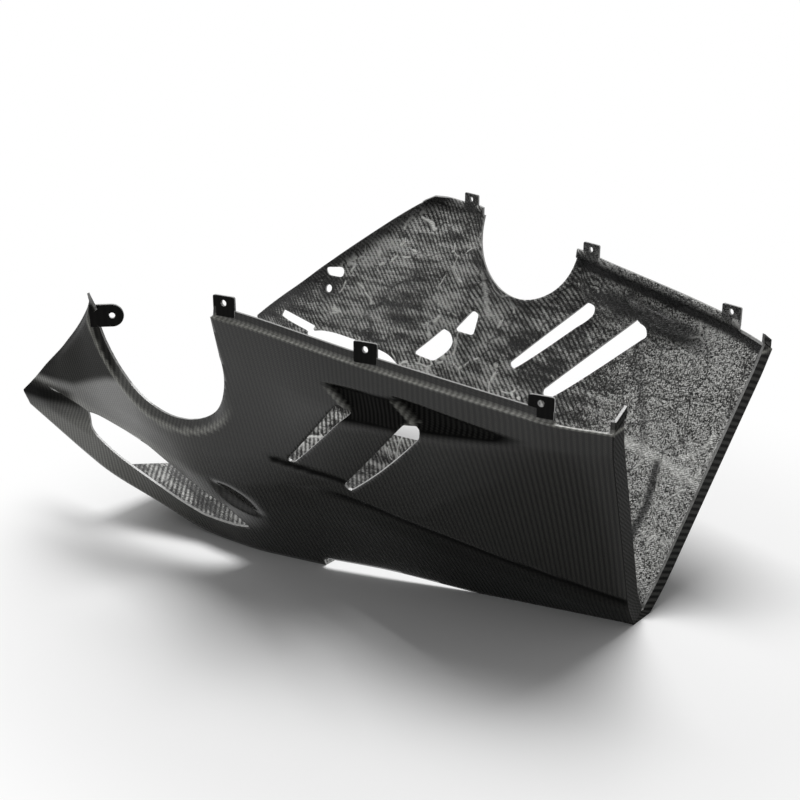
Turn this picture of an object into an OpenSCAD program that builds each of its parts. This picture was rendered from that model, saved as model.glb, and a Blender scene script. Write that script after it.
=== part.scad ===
// Belly pan of a motorcycle: one carbon laminate, open at the top, the front and the rear.
// X runs from the nose to the rear, Y across, Z up. The origin is on the underside of the keel,
// in the middle of its flat front stretch. The near side is the one at negative Y.

/* [Overall] */
// Distance from the origin forward to the upper corner of the nose
nose_reach = 350; // [320:1:380]
// Distance from the origin back to the rear end at the top
rear_reach = 290; // [270:1:310]
// How much further forward the rear end is at the keel than at the top
rear_rake = 37; // [10:1:60]
// Thickness of the laminate
wall = 2.4; // [1.6:0.1:4]

/* [Heights] */
// Height of the upper corner of the nose
nose_z = 132; // [115:1:150]
// Height of the horn, the highest point of the front edge
horn_z = 273; // [255:1:300]
// Height of the shoulder fold where the rear flange starts
fold_z = 246; // [230:1:260]
// Height of the shoulder fold at the rear end
rear_z = 220; // [200:1:235]

/* [Half widths] */
// Half width at the nose
nose_half = 169; // [150:1:185]
// Half width at the horn
horn_half = 243; // [225:1:260]
// Half width of the shoulder at the rear of the engine opening
shoulder_half = 187; // [175:1:200]
// Half width of the shoulder at the rear end
rear_half = 130; // [115:1:145]
// Half width of the flat keel at its widest, under the engine
keel_half = 120; // [105:1:130]
// Half width of the flat keel at the rear end
keel_rear_half = 13; // [8:1:30]

/* [Shoulder flange] */
// Inward step of the flange from the skin
flange_step = 3.2; // [2:0.1:5]
// Height of the flange above the fold
flange_h = 9; // [6:0.5:14]
// Width of the return flange that closes the rear edge inward
return_w = 17; // [10:0.5:26]

/* [Fixing tabs] */
// Width of a fixing tab
tab_w = 21; // [16:0.5:26]
// Height of a fixing tab above the flange
tab_h = 10.5; // [9:0.5:16]
// Thickness of a fixing tab
tab_t = 3; // [2:0.1:5]
// Height of the middle of the hole above the flange
tab_hole_z = 4.5; // [4:0.5:8]
// Diameter of the hole in a fixing tab
tab_hole_d = 5.4; // [4:0.1:7]
// Place along X of the near front tab
tab_near_front_x = -30; // [-34:1:-26]
// Place along X of the near middle tab
tab_near_mid_x = 96; // [80:1:120]
// Place along X of the far front tab
tab_far_front_x = -105; // [-115:1:-98]
// Place along X of the far middle tab
tab_far_mid_x = 71; // [68:1:90]
// Place along X of the rear tabs
tab_rear_x = 240; // [225:1:248]

/* [Engine cover openings] */
// Centre of the near opening along X
near_open_x = -122; // [-128:1:-116]
// Height of the centre of the near opening
near_open_z = 226; // [218:1:236]
// Radius of the near opening
near_open_r = 77; // [70:1:80]
// Centre of the far opening along X
far_open_x = -14; // [-18:1:-10]
// Height of the centre of the far opening
far_open_z = 265; // [258:1:272]
// Radius of the far opening
far_open_r = 69; // [64:1:73]

/* [Near front lug] */
// Place along X where the lug leaves the skin
lug_x = -202; // [-206:1:-199]
// Height of the horn above the middle of the lug
lug_drop = 39; // [34:1:44]
// Distance from the skin to the hole in the lug
lug_reach = 20; // [14:1:30]
// Angle at which the lug turns inward
lug_turn = 46; // [20:1:70]
// Radius of the round end of the lug
lug_r = 10.5; // [8:0.5:12]

/* [Gill slots] */
// Place along X of the top of the front slot
gill_x = 75; // [68:1:84]
// Distance back from the front slot to the rear slot
gill_pitch = 61; // [56:1:66]
// Height of the top of the slots
gill_top_z = 205; // [198:1:212]
// Width of the front slot at its top
gill_w = 8; // [6:0.5:12]
// Width of the rear slot at its top
rear_gill_w = 11; // [8:0.5:16]
// Depth that the skin is set in behind the rim above the front slot
gill_depth = 6; // [3:0.5:10]

/* [Recesses] */
// Depth of the wedge that is set in behind the rear slot
wedge_depth = 8; // [3:0.5:10]
// Depth of the hollow at the rear tip of the intake
hollow_depth = 7; // [2:0.5:9]

/* [Nose intakes] */
// Front end of the intake opening along X
intake_front_x = -288; // [-295:1:-280]
// Rear tip of the intake opening along X
intake_rear_x = -86; // [-92:1:-80]
// Height of the rear tip of the intake opening
intake_rear_z = 34; // [31:1:38]
// Height left between the chine and the opening
intake_margin = 3; // [2:0.5:6]
// Depth of the groove under the chine at the nose
groove_depth = 11; // [4:0.5:14]
// Height of the slit in the groove
slit_h = 6; // [3:0.5:8]
// Height of the band under the intake opening
band_h = 27; // [22:1:32]

/* [Keel] */
// Front edge of the bottom along X
bottom_front_x = -265; // [-275:1:-255]
// Rise of the keel at the front edge of the bottom
keel_rise = 6; // [2:1:14]
// Front end of the drain opening along X
drain_front_x = -26; // [-32:1:-20]
// Rear end of the drain opening along X
drain_rear_x = 150; // [120:1:160]
// Half width of the drain opening at its front end
drain_front_half = 106; // [60:1:110]
// Half width of the drain opening at its rear end
drain_rear_half = 40; // [20:1:42]

/* [Far side holes] */
// Diameter of the round hole near the nose
boss_hole_d = 9; // [6:0.5:12]

/* [Hidden] */
carbon = [0.10, 0.10, 0.095];

// Guide lines of the skin. Each pair is a place along X and a height or a half width there.
horn_x = -162;
line_start = -380;
line_end = 310;
corner_half = [[line_start, nose_half - 1], [-290, nose_half - 5], [-255, nose_half - 9],
    [-200, keel_half + 14], [-145, keel_half], [-95, keel_half - 3], [-25, 99], [45, 74],
    [150, 43], [rear_reach - rear_rake, keel_rear_half], [line_end, keel_rear_half - 5]];
corner_z = [[line_start, nose_z - 28], [-290, nose_z - 66], [-255, nose_z - 82], [-230, 36],
    [-200, 19], [-175, 7], [-145, 0], [line_end, 0]];
chine_half = [[line_start, nose_half + 1], [-nose_reach, nose_half], [-260, nose_half - 1],
    [-180, 177], [-120, 177], [-80, 169], [-30, 160], [26, 152], [51, 145], [89, 127], [124, 110],
    [157, 93], [189, 78], [229, 52], [rear_reach - 33, keel_rear_half + 19], [line_end, 8]];
chine_z = [[line_start, nose_z + 4], [-nose_reach, nose_z], [-260, nose_z - 19], [-180, 107],
    [-120, 90], [-75, 86], [-30, 100], [20, 110], [55, 105], [90, 91], [126, 79], [165, 66],
    [206, 55], [258, 35], [rear_reach, 24], [line_end, 20]];
waist_half = [[line_start, nose_half + 11], [-250, 192], [-160, 212], [-100, 202],
    [0, shoulder_half + 1], [76, shoulder_half - 3], [150, 172], [250, rear_half + 8],
    [rear_reach, rear_half - 12], [line_end, rear_half - 18]];
waist_z = [[line_start, 180], [-160, 205], [line_end, 195]];
fold_half = [[line_start, nose_half + 21], [-250, (nose_half + horn_half)/2 - 1],
    [horn_x - 24, horn_half - 16], [horn_x, horn_half + 6], [-120, horn_half - 9],
    [0, shoulder_half + 18], [80, shoulder_half], [185, shoulder_half - 20],
    [250, rear_half + 22], [rear_reach, rear_half], [line_end, rear_half - 12]];
fold_top = [[line_start, horn_z - 11], [horn_x - 24, horn_z - 6], [horn_x, horn_z - 8],
    [-47, (horn_z + fold_z)/2 + 7], [0, fold_z + 14], [40, fold_z + 7], [80, fold_z],
    [185, fold_z - 13], [250, rear_z + 4], [rear_reach, rear_z], [line_end, rear_z - 3]];

// A guide line is smoothed by the mean of five places round x
smooth_span = 14;
function along(line, x) =
    (lookup(x - smooth_span, line) + lookup(x - smooth_span/2, line) + lookup(x, line)
    + lookup(x + smooth_span/2, line) + lookup(x + smooth_span, line))/5;
function ramp(x, a, b) = let (t = min(1, max(0, (x - a)/(b - a)))) t*t*(3 - 2*t);

// The rear end leans: low points lie further forward
function leaned(x, z) = x - rear_rake*ramp(x, 90, rear_reach)*(1 - min(1, z/rear_z));

// Half width and height of the skin at place x, for v from 0 at the keel corner to 3 at the fold.
// The edges between the guide lines are rounded, softly at the front and tightly at the rear.
heights = [corner_z, chine_z, waist_z, fold_top];
widths = [corner_half, chine_half, waist_half, fold_half];
function knot(lines, x, v) =
    let (k = min(2, floor(v)), t = v - k) (1 - t)*along(lines[k], x) + t*along(lines[k + 1], x);
function softness(x) = 0.3 - 0.18*ramp(x, -60, 60);
function eased(lines, x, v) =
    let (r = softness(x), w = min(1, min(v, 3 - v)/r), mean = (knot(lines, x, max(0, v - r))
        + knot(lines, x, v) + knot(lines, x, min(3, v + r)))/3)
    (1 - w)*knot(lines, x, v) + w*mean;

// A rim runs up along each slot and bends forward above it. Behind its upper part the skin is set
// in: a little behind the front rim, and in a long wedge that ends in a point behind the rear one.
gill_run = 78;
gill_fall = 72;
gill_foot_x = gill_x - gill_run;
gill_foot_z = gill_top_z - gill_fall;
rear_gill_x = gill_x + gill_pitch;
wedge_len = 95;
wedge_top = gill_top_z + 16;
function rim_x(z) = gill_x + (z - gill_top_z)*(z < gill_top_z ? gill_run/gill_fall : -1.1);
function wedge_band(x, z) =
    let (low = gill_top_z - 15 + 0.06*(x - gill_x),
        top = wedge_top - 18*ramp(x, rear_gill_x - 26, rear_gill_x + 104))
    ramp(z, low - 6, low + 10)*(1 - ramp(z, top - 1, top + 5));
function gill_inset(x, z) =
    let (run = x - rim_x(z), rear_run = run - gill_pitch)
    wedge_band(x, z)*max(gill_depth*ramp(run, 0, 6)*(1 - ramp(run, 6, gill_pitch)),
        wedge_depth*ramp(rear_run, 0, 6)*(1 - ramp(rear_run, 10, wedge_len)));

// A hollow below the rear tip of the intake: a round rim below and ahead, and a soft rise behind
hollow_centre = [intake_rear_x + 26, intake_rear_z + 63];
hollow_r = 45;
function hollow_inset(x, z) =
    let (off = hollow_r - norm([x, z] - hollow_centre), centre = hollow_centre)
    hollow_depth*ramp(off, 0, 3)*(1 - ramp(off, 5, 25))
    *(1 - ramp(x, centre[0] - 20, centre[0] + 4))*(1 - ramp(z, centre[1] - 22, centre[1] - 4));

// A groove under the chine runs from the nose to the intake
groove_start = -nose_reach - 4;
groove_end = intake_front_x + 26;
function groove_inset(x, z) =
    let (drop = along(chine_z, x) - z)
    groove_depth*ramp(drop, 0, 5)*(1 - ramp(drop, 8, 24))
    *ramp(x, groove_start, groove_start + 20)*(1 - ramp(x, groove_end - 20, groove_end));

function skin(x, v) =
    let (z = eased(heights, x, v), xl = leaned(x, z))
    [xl, eased(widths, xl, v) - gill_inset(xl, z) - hollow_inset(xl, z) - groove_inset(xl, z), z];

// Stations along X, and steps from the keel corner to the fold
station_gap = 15;
start_x = min(line_start, -nose_reach - 30);
stations = floor((rear_reach - start_x)/station_gap);
function station(i) = start_x + (rear_reach - start_x)*i/stations;
side_steps = 15;
function keel(x) = [leaned(x, 0), 0, keel_rise*(1 - ramp(x, bottom_front_x, -145))];

// One half profile from the keel to the top of the flange
function half_profile(x) =
    let (corner = skin(x, 0), low = keel(x), top = skin(x, 3), in = [0, -flange_step, 0])
    concat([low, (low + corner)/2], [for (k = [0:side_steps]) skin(x, 3*k/side_steps)],
        [top + in + [0, 0, 1], top + in + [0, 0, flange_h]]);
function mirrored(p) = [p[0], -p[1], p[2]];
function profile(x) =
    let (h = half_profile(x), n = len(h)) concat([for (i = [n - 1:-1:1]) mirrored(h[i])], h);

// Each point moved to the inside of the pan, square to the profile
function inward(pts, d) =
    [for (i = [0:len(pts) - 1])
        let (a = pts[max(0, i - 1)], b = pts[min(len(pts) - 1, i + 1)],
            s = norm([b[1] - a[1], b[2] - a[2]]))
        pts[i] + d*[0, a[2] - b[2], b[1] - a[1]]/s];

// The free edge of the return flange. Beside the keel both halves stop short of the middle.
return_in = return_w*0.86;
return_up = return_w*0.51;
function return_edge(pts) =
    [for (p = pts) [p[0], sign(p[1])*max(0.15*abs(p[1]), abs(p[1]) - return_in), p[2] + return_up]];

module laminate() {
    last = profile(rear_reach);
    step_in = [-wall, 0, 0];
    outer = concat([for (i = [0:stations]) profile(station(i))], [return_edge(last)]);
    inner = concat([for (i = [0:stations - 1]) inward(profile(station(i)), wall)],
        [[for (p = inward(last, wall)) p + step_in]], [[for (p = return_edge(last)) p + step_in]]);
    rows = len(outer);
    m = len(outer[0]);
    half = rows*m;
    function at(i, j) = i*m + j;
    function quad(a, b, c, d) = [[a, b, c], [a, c, d]];
    skins = [for (i = [0:rows - 2], j = [0:m - 2])
        each concat(quad(at(i, j), at(i + 1, j), at(i + 1, j + 1), at(i, j + 1)),
            quad(half + at(i, j + 1), half + at(i + 1, j + 1), half + at(i + 1, j), half + at(i, j)))];
    ends = [for (j = [0:m - 2])
        each concat(quad(at(0, j), at(0, j + 1), half + at(0, j + 1), half + at(0, j)),
            quad(half + at(rows - 1, j), half + at(rows - 1, j + 1), at(rows - 1, j + 1), at(rows - 1, j)))];
    tops = [for (i = [0:rows - 2])
        each concat(quad(half + at(i, 0), half + at(i + 1, 0), at(i + 1, 0), at(i, 0)),
            quad(at(i, m - 1), at(i + 1, m - 1), half + at(i + 1, m - 1), half + at(i, m - 1)))];
    polyhedron([for (r = outer) each r, for (r = inner) each r], concat(skins, ends, tops));
}

// A prism across the pan from an outline in X and Z, on one side or right through
reach = 400;
module across(from, to) {
    translate([0, to, 0]) rotate([90, 0, 0]) linear_extrude(to - from) children();
}
module both_sides() { across(-reach, reach) children(); }
module near_side() { across(-reach, 0) children(); }
module far_side() { across(0, reach) children(); }

// What lies in front of the nose: a leaning edge that rounds over at the horn, and a blunt corner
module front_trim() {
    polygon([[-2*nose_reach, -reach], [-2*nose_reach, reach], [horn_x + 60, reach], [horn_x, horn_z + 1],
        [horn_x - 10, horn_z - 4], [horn_x - 24, horn_z - 13], [-nose_reach, nose_z],
        [-nose_reach - 26, nose_z - 20], [-nose_reach - 18, nose_z - 32], [-nose_reach - 18, -reach]]);
}

module near_opening() {
    translate([near_open_x, near_open_z]) circle(near_open_r, $fn = 72);
    polygon([[near_open_x - near_open_r, near_open_z], [horn_x - 29, horn_z - 31],
        [horn_x - 4, horn_z - 1], [horn_x + 12, horn_z + 60],
        [near_open_x + near_open_r + 12, horn_z + 60], [near_open_x + near_open_r, near_open_z]]);
}

module far_opening() {
    translate([far_open_x, far_open_z]) circle(far_open_r, $fn = 72);
    translate([far_open_x - far_open_r, far_open_z]) square([2*far_open_r, 90]);
}

// The slots have a blunt top and a pointed foot. The rear one is wider and reaches lower.
module slot_outline() {
    offset(r = 2, $fn = 24) offset(delta = -2)
    polygon([[gill_x - 5, gill_top_z + 3], [gill_x + gill_w - 6, gill_top_z - 1],
        [gill_x + gill_w - 6, gill_top_z - 6], [gill_x - 49, gill_top_z - 52],
        [gill_foot_x + 3, gill_foot_z - 2], [gill_foot_x - 4, gill_foot_z]]);
}
module rear_slot_outline() {
    offset(r = 3, $fn = 24) offset(delta = -3)
    polygon([[rear_gill_x - 5, gill_top_z - 2], [rear_gill_x + rear_gill_w - 7, gill_top_z - 8],
        [rear_gill_x + rear_gill_w - 7, gill_top_z - 15], [rear_gill_x - 39, gill_top_z - 55],
        [gill_foot_x + gill_pitch + 2, gill_foot_z - 13], [gill_foot_x + gill_pitch - 8, gill_foot_z - 20],
        [gill_foot_x + gill_pitch - 13, gill_foot_z - 14]]);
}

module intake_outline() {
    offset(r = 2, $fn = 24) offset(delta = -2)
    polygon([[intake_front_x, nose_z - 20], [-257, nose_z - 20 + intake_margin],
        [-208, nose_z - 22], [-174, 103], [-144, 86], [-100, 62], [intake_rear_x, intake_rear_z],
        [-104, intake_rear_z - 4], [-148, band_h + 1], [-184, band_h + 14], [-212, band_h + 28],
        [-254, band_h + 53], [intake_front_x + 10, band_h + 69]]);
}

// The slit follows the chine, just below it
slit_gap = 1.2;
module nose_slit() {
    a = -nose_reach + 6;
    b = intake_front_x + 6;
    top_a = along(chine_z, a) - slit_gap;
    top_b = along(chine_z, b) - slit_gap;
    polygon([[a, top_a], [b, top_b], [b, top_b - slit_h - 2], [a, top_a - slit_h]]);
}

// The flange ends behind the rear tabs. Only the fold goes on from there to the rear edge.
module flange_end() {
    start = tab_rear_x + tab_w/2;
    end = rear_reach - wall - 1;
    polygon([[start, along(fold_top, start) + 0.6], [end, along(fold_top, end) + 0.6],
        [end, horn_z], [start, horn_z]]);
}

// The far side also has a rounded window and a round hole by the nose, and two above the intake
module far_holes() {
    translate([-265, 181]) offset(r = 4.5, $fn = 24) square([14, 2], center = true);
    translate([-271, 161]) circle(d = boss_hole_d, $fn = 24);
    offset(r = 3, $fn = 24) offset(delta = -3)
        polygon([[-147, 110], [-111, 144], [-98, 141], [-93, 132], [-98, 122], [-117, 107]]);
    offset(r = 2, $fn = 24) offset(delta = -2)
        polygon([[-96, 145], [-73, 171], [-63, 169], [-66, 146]]);
}

// The mouth between the bands at the nose, ahead of the front edge of the bottom
band_inset = 14;
module mouth() {
    half = nose_half - band_inset;
    translate([-2*nose_reach, -half, -10]) cube([2*nose_reach + bottom_front_x, 2*half, nose_z - 10]);
}

drain_cut = 12;
module drain_outline() {
    offset(r = 8, $fn = 32) offset(delta = -8)
    polygon([[drain_front_x, -drain_front_half], [drain_rear_x, -drain_rear_half],
        [drain_rear_x, drain_rear_half], [drain_front_x, drain_front_half]]);
}

// The moulding with everything that was trimmed out of it, kept at its own size
module trimmed_moulding() {
    resize([0, 0, 0]) difference() {
        laminate();
        both_sides() front_trim();
        near_side() near_opening();
        far_side() far_opening();
        both_sides() slot_outline();
        both_sides() rear_slot_outline();
        both_sides() intake_outline();
        both_sides() nose_slit();
        both_sides() flange_end();
        far_side() far_holes();
        mouth();
        translate([0, 0, -drain_cut]) linear_extrude(2*drain_cut) drain_outline();
    }
}

// Place and turn of the tabs. The tabs of one side are parallel, so their screws are too.
function fold_point(x, side) = let (p = skin(x, 3)) [x, side*(along(fold_half, x) - flange_step), p[2]];
function tab_turn(mid_x, side) =
    let (a = fold_point(mid_x, side), b = fold_point(tab_rear_x, side)) atan2(b[1] - a[1], b[0] - a[0]);
tab_sink = 7;
module tab(x, side, mid_x) {
    p = fold_point(x, side);
    translate(p + [0, 0, flange_h]) rotate([0, 0, tab_turn(mid_x, side)])
    difference() {
        translate([-tab_w/2, side > 0 ? -tab_t : 0, -tab_sink]) cube([tab_w, tab_t, tab_h + tab_sink]);
        translate([0, 0, tab_hole_z]) rotate([90, 0, 0])
            cylinder(d = tab_hole_d, h = 4*tab_t, center = true, $fn = 48);
    }
}

// Half width of the skin at a height between the waist and the fold
function upper_half(x, z) =
    let (low = along(waist_z, x), top = along(fold_top, x))
    eased(widths, x, 2 + min(1, max(0, (z - low)/(top - low))));

// The lug starts within the skin, just ahead of the opening
module front_lug() {
    z = horn_z - lug_drop;
    translate([lug_x, wall/2 - upper_half(lug_x, z), z]) rotate([0, 0, lug_turn]) difference() {
        union() {
            translate([0, -tab_t/2, -lug_r]) cube([lug_reach, tab_t, 2*lug_r]);
            translate([lug_reach, 0, 0]) rotate([90, 0, 0])
                cylinder(r = lug_r, h = tab_t, center = true, $fn = 48);
        }
        translate([lug_reach, 0, 0]) rotate([90, 0, 0])
            cylinder(d = tab_hole_d, h = 4*tab_t, center = true, $fn = 48);
    }
}

// The sizes above count along X from under the engine, and the flat stretch lies ahead of there
keel_rest_x = -85;
module belly_pan() {
    color(carbon) translate([-keel_rest_x, 0, 0]) union() {
        trimmed_moulding();
        union() {
            for (x = [tab_near_front_x, tab_near_mid_x, tab_rear_x]) tab(x, -1, tab_near_mid_x);
            for (x = [tab_far_front_x, tab_far_mid_x, tab_rear_x]) tab(x, 1, tab_far_mid_x);
            front_lug();
        }
    }
}

belly_pan();
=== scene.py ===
"""Belly pan of a motorcycle: the dressed model of a one-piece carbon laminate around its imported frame."""
import math

import bpy
import numpy as np
from mathutils import Matrix, Vector


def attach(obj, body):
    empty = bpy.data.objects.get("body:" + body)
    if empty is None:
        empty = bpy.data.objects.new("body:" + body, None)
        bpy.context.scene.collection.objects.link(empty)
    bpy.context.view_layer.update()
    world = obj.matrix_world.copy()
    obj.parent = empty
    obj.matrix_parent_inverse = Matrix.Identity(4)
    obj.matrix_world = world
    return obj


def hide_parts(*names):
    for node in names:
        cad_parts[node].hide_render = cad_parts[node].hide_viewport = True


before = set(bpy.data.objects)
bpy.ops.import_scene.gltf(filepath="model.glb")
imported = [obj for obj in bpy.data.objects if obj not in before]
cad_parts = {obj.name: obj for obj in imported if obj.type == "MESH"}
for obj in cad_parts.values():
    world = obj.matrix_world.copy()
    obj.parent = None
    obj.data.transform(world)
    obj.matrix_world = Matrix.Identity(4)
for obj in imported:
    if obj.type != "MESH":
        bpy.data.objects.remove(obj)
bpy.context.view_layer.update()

bl_info = {
    "name": "Carbon Belly Pan",
    "version": (1, 0, 0),
    "blender": (4, 5, 0),
    "location": "View3D > Sidebar > Belly Pan",
    "description": "Builds a laminated belly pan with its weave, lips, gills and fixing tabs",
    "category": "Add Mesh",
}

MM = 0.001
NEAR, FAR = -1.0, 1.0

# Places along X below count from under the engine. The frame's origin lies this far ahead.
ORIGIN_X = -85.0
NOSE_REACH, NOSE_Z = 350.0, 132.0
REAR_REACH, REAR_RAKE, REAR_Z, RAKE_START = 290.0, 37.0, 220.0, 90.0
HORN_X, HORN_Z = -162.0, 273.0
FLANGE_STEP, FLANGE_H = 3.2, 9.0
BOTTOM_FRONT_X, KEEL_LEVEL_X, KEEL_RISE = -265.0, -145.0, 6.0
BAND_INNER, MOUTH_DROP, DRAIN_TOP = 155.0, 10.0, 10.0

# Return flange: its width, the shares of it that go inward and up, and the steps round its corner
RETURN_W, RETURN_IN, RETURN_UP, RETURN_LEFT = 17.0, 0.86, 0.51, 0.15
RETURN_STEPS = (0.05, 0.2, 0.4, 0.6, 0.8, 0.95, 1.0)

# The top flange ends here, apart from a post at the rear end, and it's trimmed this far above the fold
FLANGE_END, REAR_POST, FLANGE_TRIM = 250.5, 4.0, 0.6

# How far the moulding stays inside the solid at its sides, its rear end and its plates
SIDE_SPARE, REAR_SPARE, PLATE_SPARE = 0.25, 0.4, 0.1

# The grid starts this far ahead of the nose, and one more station keeps the rear corner sharp
GRID_LEAD, REAR_STRIP = 30.0, 1.2
BOTTOM_SPAN, BOTTOM_COARSE, SIDE_SPAN = 120.0, 1.6, 290.0

# Guide lines of the skin: pairs of a place along X and a height or a half width, in millimetres
CORNER_HALF = [(-380, 168), (-290, 164), (-255, 160), (-200, 134), (-145, 120), (-95, 117), (-25, 99),
               (45, 74), (150, 43), (253, 13), (310, 8)]
CORNER_Z = [(-380, 104), (-290, 66), (-255, 50), (-230, 36), (-200, 19), (-175, 7), (-145, 0), (310, 0)]
CHINE_HALF = [(-380, 170), (-350, 169), (-260, 168), (-180, 177), (-120, 177), (-80, 169), (-30, 160),
              (26, 152), (51, 145), (89, 127), (124, 110), (157, 93), (189, 78), (229, 52), (257, 32),
              (310, 8)]
CHINE_Z = [(-380, 136), (-350, 132), (-260, 113), (-180, 107), (-120, 90), (-75, 86), (-30, 100), (20, 110),
           (55, 105), (90, 91), (126, 79), (165, 66), (206, 55), (258, 35), (290, 24), (310, 20)]
WAIST_HALF = [(-380, 180), (-250, 192), (-160, 212), (-100, 202), (0, 188), (76, 184), (150, 172),
              (250, 138), (290, 118), (310, 112)]
WAIST_Z = [(-380, 180), (-160, 205), (310, 195)]
FOLD_HALF = [(-380, 190), (-250, 205), (-186, 227), (-162, 249), (-120, 234), (0, 205), (80, 187),
             (185, 167), (250, 152), (290, 130), (310, 118)]
FOLD_Z = [(-380, 262), (-186, 267), (-162, 265), (-47, 266.5), (0, 260), (40, 253), (80, 246), (185, 233),
          (250, 224), (290, 220), (310, 217)]
HALVES = (CORNER_HALF, CHINE_HALF, WAIST_HALF, FOLD_HALF)
HEIGHTS = (CORNER_Z, CHINE_Z, WAIST_Z, FOLD_Z)
WAIST, FOLD = 2.0, 3.0
SMOOTH_SPAN = 14.0

# Corners of a profile are eased over this share of a guide step at the front, and over less at the rear
EASE, EASE_LESS = 0.3, 0.2

# Front edge, as corners counted from the nose corner and then from the horn
FRONT_LOW = [(-18.0, -32.0), (-26.0, -20.0), (0.0, 0.0)]
FRONT_HIGH = [(-24.0, -13.0), (-10.0, -4.0), (0.0, 1.0)]
NOSE_BLUNT = 25.0

# Openings and hollows in X and Z. Round ones have a centre and a radius, the window has its centre, half
# width, half height and corner radius, and the slit its start, end, gap under the chine and height.
NEAR_OPEN = (-122.0, 226.0, 77.0)
FAR_OPEN = (-14.0, 265.0, 69.0)
THROAT, THROAT_WIDER = [(-29.0, -31.0), (-4.0, -1.0), (12.0, 60.0)], 12.0

# Gills: the front rim's place, the step to the rear rim, the rims' lean, and the band that is set in
GILL_X, GILL_PITCH, GILL_TOP_Z = 75.0, 61.0, 205.0
GILL_RUN, GILL_DROP, GILL_BEND = 78.0, 72.0, -1.1
WEDGE_LEN, WEDGE_TOP = 95.0, 221.0
BAND_DROP, BAND_SLOPE, BAND_FALL = 15.0, 0.06, 18.0
RIM_RUN = 6.0
FRONT_SLOT = [(70, 208), (77, 204), (77, 199), (26, 153), (0, 131), (-7, 133)]
FAR_FRONT_SLOT = [(74, 211), (84, 208), (84, 200), (27, 149), (0, 128), (-9, 132)]
FAR_REAR_SLOT = [(135, 207), (149, 203), (149, 193), (98, 147), (61, 117), (49, 110), (42, 118)]
REAR_SLOT = [(131, 203), (140, 197), (140, 190), (97, 150), (60, 120), (50, 113), (45, 119)]
HOLLOW = (-60.0, 97.0, 45.0)
GROOVE_START, GROOVE_END = -354.0, -262.0
CREASE_X, CREASE_Z, CREASE_SLOPE, CREASE_DEPTH = -22.0, 130.0, 0.106, 1.2
CHINE_CREASE_DEPTH = 2.2

# Cut-outs of both sides or of one, the same way, and the claw that stands above the near front corner
SLIT = (-332.0, -282.0, 1.2, 6.0)
CLAW = [(-199, 238), (-199.5, 247), (-191, 262), (-189, 261.5), (-190.5, 251), (-188, 242)]
INTAKE = [(-288, 112), (-257, 115), (-208, 110), (-174, 103), (-144, 86), (-100, 62), (-86, 34),
          (-104, 30), (-148, 28), (-184, 41), (-212, 55), (-254, 80), (-278, 96)]
FAR_MOON = [(-147, 110), (-111, 144), (-98, 141), (-93, 132), (-98, 122), (-117, 107)]
FAR_WEDGE = [(-96, 145), (-73, 171), (-63, 169), (-66, 146)]
FAR_WINDOW = (-265.0, 181.0, 7.0, 1.0, 4.5)
FAR_BOSS = (-271.0, 161.0, 4.5)

# Drain opening in X and Y
DRAIN = [(-26, -106), (150, -40), (150, 40), (-26, 106)]

# Fixing tabs: place along X, side, and the hole
TAB_TURN = {NEAR: 11.75, FAR: -11.7}
TABS = [(-30.0, NEAR), (96.0, NEAR), (240.0, NEAR), (-105.0, FAR), (71.0, FAR), (240.0, FAR)]
TAB_W, TAB_H, TAB_SINK, TAB_CORNER = 21.0, 10.5, 7.0, 1.5
TAB_HOLE_Z, TAB_HOLE_R = 4.5, 2.7
# Tabs and lug are set dark on both faces, and their outer faces lose most of the coat
PLATE_BEVEL, PLATE_DARKENING = 0.35, (0.75, 0.0, 0.0, 0.7)
LUG_X, LUG_Z, LUG_R, LUG_TURN = -202.0, 234.0, 10.5, 46.0
LUG_REACH, LUG_SPARE, LUG_SINK = 20.0, 0.4, 1.2

# Marks on the bag side in X and Z: dark folds with their depth of tone, and raised plies with a width too
FOLD_MARK_W = 6.5
DARK_FOLDS = [((207, 99), (209, 70), 0.9), ((209, 70), (204, 38), 0.9), ((126, 240), (122, 214), 0.8),
              ((-82, 221), (2, 187), 0.7), ((140, 184), (184, 112), 0.45)]
PLY_RIDGES = [((151, 105), (206, 103.5), 5.5, 1.0), ((206, 103.5), (258, 100), 5.5, 1.0),
              ((-70, 214), (-50, 170), 4.0, 0.7)]

# Lower edge of the painted dark reflection on the front corner of the outer side, and the line of painted
# shade along the upper crease
DARK_CORNER = [(-350, 134), (-316, 136), (-282, 139), (-246, 153), (-210, 166), (-188, 171)]
CREASE_MARK = ((-22, 130), (46, 123), 5.0)

# How far painted highlights lighten and painted shade and dark reflections darken, from 0 to 1, and where the
# bend of a rolled lip lies
RIM_LIGHT, CREST_LIGHT, FRONT_LIGHT, NOSE_LIGHT = 0.8, 0.7, 0.34, 0.60
CORNER_PAINTED_DARK, WEDGE_SHADE, FACET_SHADE, LOW_SHADE = 0.75, 0.88, 0.8, 0.35
LIP_BEND, FAR_LIP = 10.5, 0.6

# Fixed tones of the outer side: painted shade, tows faintly lit within it, gaps between tows, drift, and the
# painted highlight on the ribs
PAINTED_SHADE_TONE, SHADE_TOW_TONE, GAP_TONE = (0.003, 0.003, 0.003), (0.060, 0.060, 0.056), (0.004, 0.004, 0.004)
DRIFT_TONE, RIB_LIGHT = (0.010, 0.010, 0.009), (0.34, 0.34, 0.31)

# Fixed tones of the bag side: wet and dry resin, raised plies, dark creases, and dark bands of painted shade
# and dark fold lines
RESIN_WET, RESIN_DRY, PLY_TONE = (0.022, 0.022, 0.021), (0.19, 0.19, 0.18), (0.90, 0.90, 0.87)
CREASE_TONE, BAND_TONE = (0.004, 0.004, 0.004), (0.002, 0.002, 0.002)

# Clear coat: its weight, how fast painted shade takes it away, and from which level of painted shade the tows
# show faintly lit
COAT, COAT_LOSS, COAT_ROUGH, COAT_IOR, BASE_IOR = 0.9, 1.28, 0.02, 1.42, 1.06
SHADE_TOWS_FROM, SHADE_TOWS_GAIN = 0.82, 5.0
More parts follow.
